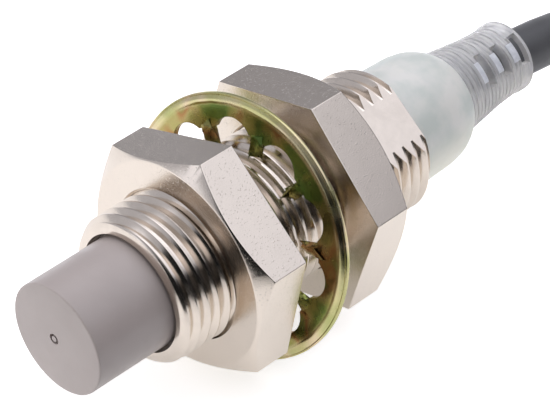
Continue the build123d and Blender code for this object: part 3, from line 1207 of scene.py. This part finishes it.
@dataclass
class Cable:
    """The free cable: out of the strain relief, down to the surface, into its hank, to three bare wires."""

    radius: float = 2.0 * MM
    length: float = 2.0
    wire: float = 0.6 * MM
    tail_long: float = 26.0 * MM
    tip_long: float = 5.0 * MM
    end_stop: Vector = Vector((116.0 * MM, -3.0 * MM, 0.0))
    end_start: Vector = Vector((98.0 * MM, 6.0 * MM, 0.0))

    def build(self, paint: Paint) -> None:
        """Makes the cable, its tie, its wires and their tips.

        Args:
            paint: where the finishes come from.
        """
        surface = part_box("hank_tie")[0].z
        tie_thick = 0.5 * MM
        hank = Hank(Vector((111.3 * MM, -8.0 * MM, 0.0)), surface + tie_thick)
        lying = surface + self.radius + tie_thick
        route = [
            Vector((37.0, 0.0, 0.0)) * MM,
            Vector((49.0, 0.0, 0.0)) * MM,
            Vector((61.0, 0.6, -3.5)) * MM,
            Vector((70.0, 2.6, -6.7)) * MM,
            Vector((79.5, 6.0, -8.1)) * MM,
            Vector((87.5 * MM, 7.9 * MM, lying)),
        ]
        top = hank.height(5.0)
        lead = [
            Vector((91.0 * MM, 7.0 * MM, top)),
            self.end_start + Vector((0, 0, top)),
            (self.end_start + self.end_stop) / 2 + Vector((0, 0, top)),
            self.end_stop + Vector((0, 0, top)),
        ]
        line = self.curve("cable_run", route + hank.points() + lead, self.radius)
        heading = (self.end_stop - self.end_start).normalized()
        pieces = self.tails(paint, heading, top - self.radius + self.wire)
        pieces.append(self.tie(paint))
        dress(paint, line, "jacket", Body.SENSOR, ("cable_jacket", "cable_hank", "cable_end"))

    def curve(self, name: str, points: list[Vector], radius: float) -> bpy.types.Object:
        """Makes a round cable along one smooth line.

        Args:
            name: the piece's name.
            points: the line's control points.
            radius: the cable's radius.

        Returns:
            The cable.
        """
        data = bpy.data.curves.new(name, "CURVE")
        data.dimensions = "3D"
        data.bevel_depth = radius
        data.bevel_resolution = 6
        data.resolution_u = 5
        data.use_fill_caps = True
        spline = data.splines.new("NURBS")
        spline.points.add(len(points) - 1)
        for place, point in zip(spline.points, points):
            place.co = (*point, 1.0)
        spline.order_u = 3
        spline.use_endpoint_u = True
        return linked(name, data)

    def tails(self, paint: Paint, heading: Vector, z: float) -> list[bpy.types.Object]:
        """Makes the three insulated wires and their bare tips, fanned out from the cable's end.

        Args:
            paint: where the finishes come from.
            heading: the way that the cable's end points.
            z: height of the wires' middles.

        Returns:
            The pieces.
        """
        across = Vector((-heading.y, heading.x, 0))
        pieces, tips = [], []
        kinds = (("blue", -1.25, -9.0, 1.1), ("black", 0.0, 0.0, -0.8), ("brown", 1.25, 8.0, -1.3))
        for finish, side, fan, sway in kinds:
            turned = Matrix.Rotation(math.radians(fan), 3, "Z") @ heading
            start = self.end_stop + Vector((0, 0, z)) + across * side * MM
            drift = Vector((-turned.y, turned.x, 0)) * sway * MM
            points = [start - heading * 0.5 * MM]
            for share, swing in ((0.2, 0.3), (0.45, 1.0), (0.75, 0.2), (1.0, 0.0)):
                points.append(start + turned * self.tail_long * share + drift * swing)
            wire = self.curve(finish + "_wire_tail", points, self.wire)
            dress(paint, wire, finish, Body.SENSOR, (finish + "_tail",))
            tip_start = points[-1]
            tips.append((tip_start, (points[-1] - points[-2]).normalized()))
            pieces.append(wire)
        pieces.append(self.strands(paint, tips))
        return pieces

    def strands(self, paint: Paint, tips: list[tuple[Vector, Vector]]) -> bpy.types.Object:
        """Makes the twisted, tinned strands at the three wires' ends."""
        bm = bmesh.new()
        count, lay, steps = 7, 7.0 * MM, 14
        strand = self.wire * 0.2
        for start, way in tips:
            across = Vector((-way.y, way.x, 0))
            up = Vector((0, 0, 1))
            for k in range(count):
                orbit = self.wire * 0.4 if k else 0.0
                before = None
                for i in range(steps + 1):
                    along = -0.5 * MM + (self.tip_long + 0.5 * MM) * i / steps
                    angle = math.tau * (k / (count - 1) + along / lay)
                    centre = start + way * along + (across * math.cos(angle) + up * math.sin(angle)) * orbit
                    basis = Matrix((across, up, way)).transposed().to_4x4()
                    ring = bmesh.ops.create_circle(
                        bm, cap_ends=i in (0, steps), segments=8, radius=strand,
                        matrix=Matrix.Translation(centre) @ basis,
                    )["verts"]
                    edges = list({e for v in ring for e in v.link_edges})
                    if before:
                        bmesh.ops.bridge_loops(bm, edges=before + edges)
                    before = edges
        piece = settle(bm, "tinned_tips")
        return dress(paint, piece, "tinned", Body.SENSOR, ("bare_tips",), 50.0)

    def tie(self, paint: Paint) -> bpy.types.Object:
        """Makes the flat tie round the hank's waist, with its overlapping end."""
        low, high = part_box("hank_tie")
        size, middle = high - low, (high + low) / 2
        thick = 0.42 * MM
        bm = bmesh.new()
        bmesh.ops.create_grid(bm, x_segments=1, y_segments=1, size=0.5)
        bmesh.ops.rotate(bm, verts=bm.verts, cent=(0, 0, 0), matrix=Matrix.Rotation(math.radians(90), 3, "Y"))
        bmesh.ops.scale(bm, verts=bm.verts, vec=(1, size.y - thick, size.z - thick))
        bmesh.ops.bevel(
            bm, geom=bm.verts[:], offset=1.4 * MM, offset_type="OFFSET", affect="VERTICES",
            segments=6, profile=0.5, material=-1,
        )
        bmesh.ops.translate(bm, verts=bm.verts, vec=middle - AXIS * size.x / 2)
        face = bm.faces[:]
        grown = bmesh.ops.extrude_face_region(bm, geom=face)["geom"]
        moved = [item for item in grown if isinstance(item, bmesh.types.BMVert)]
        bmesh.ops.translate(bm, verts=moved, vec=AXIS * size.x)
        ends = [f for f in bm.faces if abs(f.normal.x) > 0.5 or len(f.verts) > 4]
        bmesh.ops.delete(bm, geom=ends, context="FACES_ONLY")
        bmesh.ops.recalc_face_normals(bm, faces=bm.faces)
        bmesh.ops.solidify(bm, geom=bm.faces[:], thickness=thick)
        piece = settle(bm, "tie_band")
        return dress(paint, piece, "tie", Body.SENSOR, ("hank_tie",), 40.0)


# ---- electronics --------------------------------------------------------------------
class Electronics:
    """The coil, board and wires inside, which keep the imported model's shapes."""

    finishes = {
        "ferrite_core": "ferrite",
        "coil_bobbin": "bobbin",
        "coil_winding": "copper",
        "coil_leads": "copper",
        "circuit_board": "board",
        "control_ic": "chip",
        "output_transistor": "chip",
        "protection_diode": "chip",
        "resistors": "resistor",
        "capacitors": "capacitor",
        "indicator_led": "led",
        "solder_joints": "solder",
        "blue_wire": "blue",
        "black_wire": "black",
        "brown_wire": "brown",
        "potting_resin": "resin",
    }

    def build(self, paint: Paint) -> None:
        """Coats each inner part."""
        for node, finish in self.finishes.items():
            paint.coat(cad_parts[node], finish)


# ---- studio -------------------------------------------------------------------------
@dataclass(frozen=True)
class Glow:
    """A soft-edged bright patch of the room, placed by the way to it from the sensor, in degrees."""

    azimuth: float
    elevation: float
    wide: float
    tall: float
    strength: float
    softness: float = 0.3


@dataclass
class Studio:
    """The camera, the pale floor and the soft light."""

    aim: Vector = Vector((22.631 * MM, 0.796 * MM, -1.386 * MM))
    distance: float = 213.2 * MM
    azimuth: float = -45.463
    elevation: float = 38.680
    lens: float = 186.15
    floor_reach: float = 6.0
    floor_glow: float = 0.26
    # painted pool of light: the floor's glow right at the sensor and how far out it fades
    painted_pool_glow: float = 0.38
    painted_pool_reach: float = 55.0 * MM
    floor_white: float = 0.62
    room_colour: Colour = (0.96, 0.98, 1.09)
    room_dark: float = 0.02
    glows: tuple[Glow, ...] = (
        Glow(-45.0, 46.0, 62.0, 18.0, 0.82),
        Glow(0.0, 90.0, 360.0, 50.0, 0.58, 0.35),
        Glow(64.0, 53.0, 45.0, 18.0, 0.45, 0.4),
        Glow(132.0, 14.0, 50.0, 28.0, 0.55, 0.15),
        Glow(154.0, 12.0, 9.0, 12.0, 0.72, 0.5),
        Glow(48.0, 8.0, 40.0, 34.0, 0.34, 0.5),
        Glow(-28.0, 2.0, 20.0, 14.0, 0.40, 0.4),
    )
    flag_centre: Vector = Vector((14.0, 0.0, 0.0)) * MM
    flag_radius: float = 46.0 * MM
    flag_height: float = 22.0 * MM
    flag_start: float = -60.0
    flag_stop: float = -177.0

    def camera(self) -> None:
        """Stands the camera, level, in front of the sensor."""
        azimuth, elevation = math.radians(self.azimuth), math.radians(self.elevation)
        level = math.cos(elevation)
        back = Vector((math.sin(azimuth) * level, -math.cos(azimuth) * level, math.sin(elevation)))
        data = bpy.data.cameras.new("camera")
        data.lens = self.lens
        data.sensor_width = 36.0
        data.clip_start = 10 * MM
        data.clip_end = 20.0
        camera = linked("camera", data)
        camera.location = self.aim + back * self.distance
        camera.rotation_mode = "QUATERNION"
        camera.rotation_quaternion = (-back).to_track_quat("-Z", "Y")
        bpy.context.scene.camera = camera

    def floor(self, surface: float) -> None:
        """Lays the pale floor, a back-lit white sheet whose glow is stronger round the sensor, a painted pool of
        light.

        Args:
            surface: height that the sensor lies at.
        """
        bm = bmesh.new()
        bmesh.ops.create_circle(bm, cap_ends=True, segments=96, radius=self.floor_reach)
        bmesh.ops.translate(bm, verts=bm.verts, vec=(0, 0, surface - 0.02 * MM))
        floor = settle(bm, "floor")
        bench = NodeBench("pale_floor")
        bench.shader.inputs["Base Color"].default_value = (0.86, 0.86, 0.86, 1.0)
        bench.shader.inputs["Roughness"].default_value = 0.8
        bench.shader.inputs["Specular IOR Level"].default_value = 0.1
        bench.shader.inputs["Emission Color"].default_value = (1.0, 0.99, 0.98, 1.0)
        glow = bench.add("ShaderNodeMapRange")
        near = bench.add("ShaderNodeVectorMath")
        near.operation = "LENGTH"
        bench.join(bench.place, near.inputs[0])
        # painted pool of light: for all but camera rays the floor glows more strongly near the sensor, fading out to
        # floor_glow
        painted_pool = bench.add("ShaderNodeMapRange")
        painted_pool.inputs["From Max"].default_value = self.painted_pool_reach
        painted_pool.inputs["To Min"].default_value = self.painted_pool_glow
        painted_pool.inputs["To Max"].default_value = self.floor_glow
        bench.join(near.outputs["Value"], painted_pool.inputs["Value"])
        bench.join(painted_pool.outputs["Result"], glow.inputs["To Min"])
        glow.inputs["To Max"].default_value = self.floor_white
        bench.join(bench.add("ShaderNodeLightPath").outputs["Is Camera Ray"], glow.inputs["Value"])
        bench.join(glow.outputs["Result"], bench.shader.inputs["Emission Strength"])
        floor.data.materials.append(bench.material)
        floor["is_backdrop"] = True

    def flag(self, surface: float) -> None:
        """Stands a curved black card before the sensor, for the dark lines in the metal.

        The camera looks through it.

        Args:
            surface: height that the sensor lies at.
        """
        bm = bmesh.new()
        start = Matrix.Rotation(math.radians(self.flag_start), 3, "Z") @ Vector((self.flag_radius, 0, 0))
        foot = self.flag_centre + start
        low = bm.verts.new((foot.x, foot.y, surface))
        high = bm.verts.new((foot.x, foot.y, self.flag_height))
        edge = bm.edges.new((low, high))
        bmesh.ops.spin(
            bm, geom=[low, high, edge], cent=self.flag_centre, axis=(0, 0, 1), dvec=(0, 0, 0),
            angle=math.radians(self.flag_stop - self.flag_start), steps=36, use_merge=False, use_duplicate=False,
        )
        card = settle(bm, "black_card")
        bench = NodeBench("black_card")
        bench.shader.inputs["Base Color"].default_value = (0.01, 0.01, 0.01, 1.0)
        bench.shader.inputs["Specular IOR Level"].default_value = 0.0
        card.data.materials.append(bench.material)
        card.visible_camera = False
        card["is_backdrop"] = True

    def lamp(
        self, name: str, place: Vector, power: float, size: float, colour: Colour
    ) -> bpy.types.Object:
        """Hangs one soft square lamp that shines at the sensor and returns it."""
        data = bpy.data.lights.new(name, "AREA")
        data.energy = power
        data.size = size
        data.color = colour
        lamp = linked(name, data)
        lamp.location = place
        lamp.rotation_mode = "QUATERNION"
        lamp.rotation_quaternion = (self.aim - place).to_track_quat("-Z", "Y")
        return lamp

    def surround(self) -> None:
        """Sets the room: dark, with bright patches, and white where the camera looks past the floor."""
        world = bpy.data.worlds.new("studio")
        bpy.context.scene.world = world
        world.use_nodes = True
        tree = world.node_tree
        tree.nodes.clear()
        room = RoomBench(tree)
        total = room.number(self.room_dark)
        for glow in self.glows:
            total = room.sum("ADD", total, room.patch(glow))
        light = tree.nodes.new("ShaderNodeBackground")
        light.inputs["Color"].default_value = (*self.room_colour, 1.0)
        tree.links.new(total, light.inputs["Strength"])
        seen = tree.nodes.new("ShaderNodeBackground")
        path = tree.nodes.new("ShaderNodeLightPath")
        either = tree.nodes.new("ShaderNodeMixShader")
        seen.inputs["Color"].default_value = (0.97, 0.97, 0.97, 1.0)
        tree.links.new(path.outputs["Is Camera Ray"], either.inputs["Fac"])
        tree.links.new(light.outputs["Background"], either.inputs[1])
        tree.links.new(seen.outputs["Background"], either.inputs[2])
        output = tree.nodes.new("ShaderNodeOutputWorld")
        tree.links.new(either.outputs["Shader"], output.inputs["Surface"])

    def build(self, surface: float) -> None:
        """Sets the room, the floor and the lamps.

        Args:
            surface: height that the sensor lies at.
        """
        bpy.context.scene.view_settings.view_transform = "Standard"
        self.surround()
        self.floor(surface)
        self.flag(surface)
        overhead = self.lamp("overhead", Vector((0.05, -0.02, 0.50)), 0.92, 0.35, (1.0, 0.98, 0.97))
        nose = self.lamp("nose", Vector((-0.45, 0.12, 0.14)), 0.72, 0.2, (1.0, 0.98, 0.93))
        for lamp in (overhead, nose):
            lamp.visible_glossy = False


class RoomBench:
    """Builds the room's brightness by direction."""

    def __init__(self, tree: bpy.types.NodeTree) -> None:
        """Finds the azimuth and elevation of each direction.

        Args:
            tree: the world's node tree.
        """
        self.tree = tree
        parts = tree.nodes.new("ShaderNodeSeparateXYZ")
        tree.links.new(tree.nodes.new("ShaderNodeTexCoord").outputs["Generated"], parts.inputs["Vector"])
        self.azimuth = self.sum("ARCTAN2", parts.outputs["Y"], parts.outputs["X"])
        self.elevation = self.sum("ARCSINE", parts.outputs["Z"])
        self.level = self.sum("COSINE", self.elevation)

    def number(self, value: float) -> bpy.types.NodeSocket:
        """Returns a fixed number as a socket."""
        node = self.tree.nodes.new("ShaderNodeValue")
        node.outputs["Value"].default_value = value
        return node.outputs["Value"]

    def sum(self, operation: str, *terms: bpy.types.NodeSocket | float) -> bpy.types.NodeSocket:
        """Works out one operation on sockets and numbers."""
        node = self.tree.nodes.new("ShaderNodeMath")
        node.operation = operation
        for term, socket in zip(terms, node.inputs):
            if isinstance(term, float):
                socket.default_value = term
            else:
                self.tree.links.new(term, socket)
        return node.outputs["Value"]

    def patch(self, glow: Glow) -> bpy.types.NodeSocket:
        """Returns the brightness that one patch adds in each direction."""
        turn = self.sum("SUBTRACT", self.azimuth, math.radians(glow.azimuth))
        turn = self.sum("WRAP", turn, math.pi, -math.pi)
        across = self.sum("MULTIPLY", turn, self.level)
        across = self.sum("DIVIDE", across, math.radians(glow.wide))
        climb = self.sum("SUBTRACT", self.elevation, math.radians(glow.elevation))
        climb = self.sum("DIVIDE", climb, math.radians(glow.tall))
        away = self.sum("ADD", self.sum("POWER", across, 2.0), self.sum("POWER", climb, 2.0))
        edge = self.tree.nodes.new("ShaderNodeMapRange")
        edge.interpolation_type = "SMOOTHSTEP"
        edge.inputs["From Min"].default_value = 1.0 + glow.softness
        edge.inputs["From Max"].default_value = 1.0 - glow.softness
        self.tree.links.new(self.sum("SQRT", away), edge.inputs["Value"])
        return self.sum("MULTIPLY", edge.outputs["Result"], glow.strength)


def main() -> None:
    """Builds the sensor and its surroundings."""
    logging.basicConfig(level=logging.INFO, format="%(name)s: %(message)s")
    cad_low, cad_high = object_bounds()
    paint = Paint()
    studio = Studio()
    studio.camera()
    Cable().build(paint)
    thread = Thread()
    Barrel(thread).build(paint)
    HexNut("front_nut", Body.FRONT_NUT, thread, 10.9, True).build(paint)
    HexNut("rear_nut", Body.REAR_NUT, thread, 16.1, False).build(paint)
    ToothedWasher(Vector((18.0, -0.10, -0.12)) * MM).build(paint)
    SensingCap().build(paint)
    RearCover().build(paint)
    StrainRelief().build(paint)
    Electronics().build(paint)
    studio.build(cad_low.z)


if __name__ == "__main__":
    main()
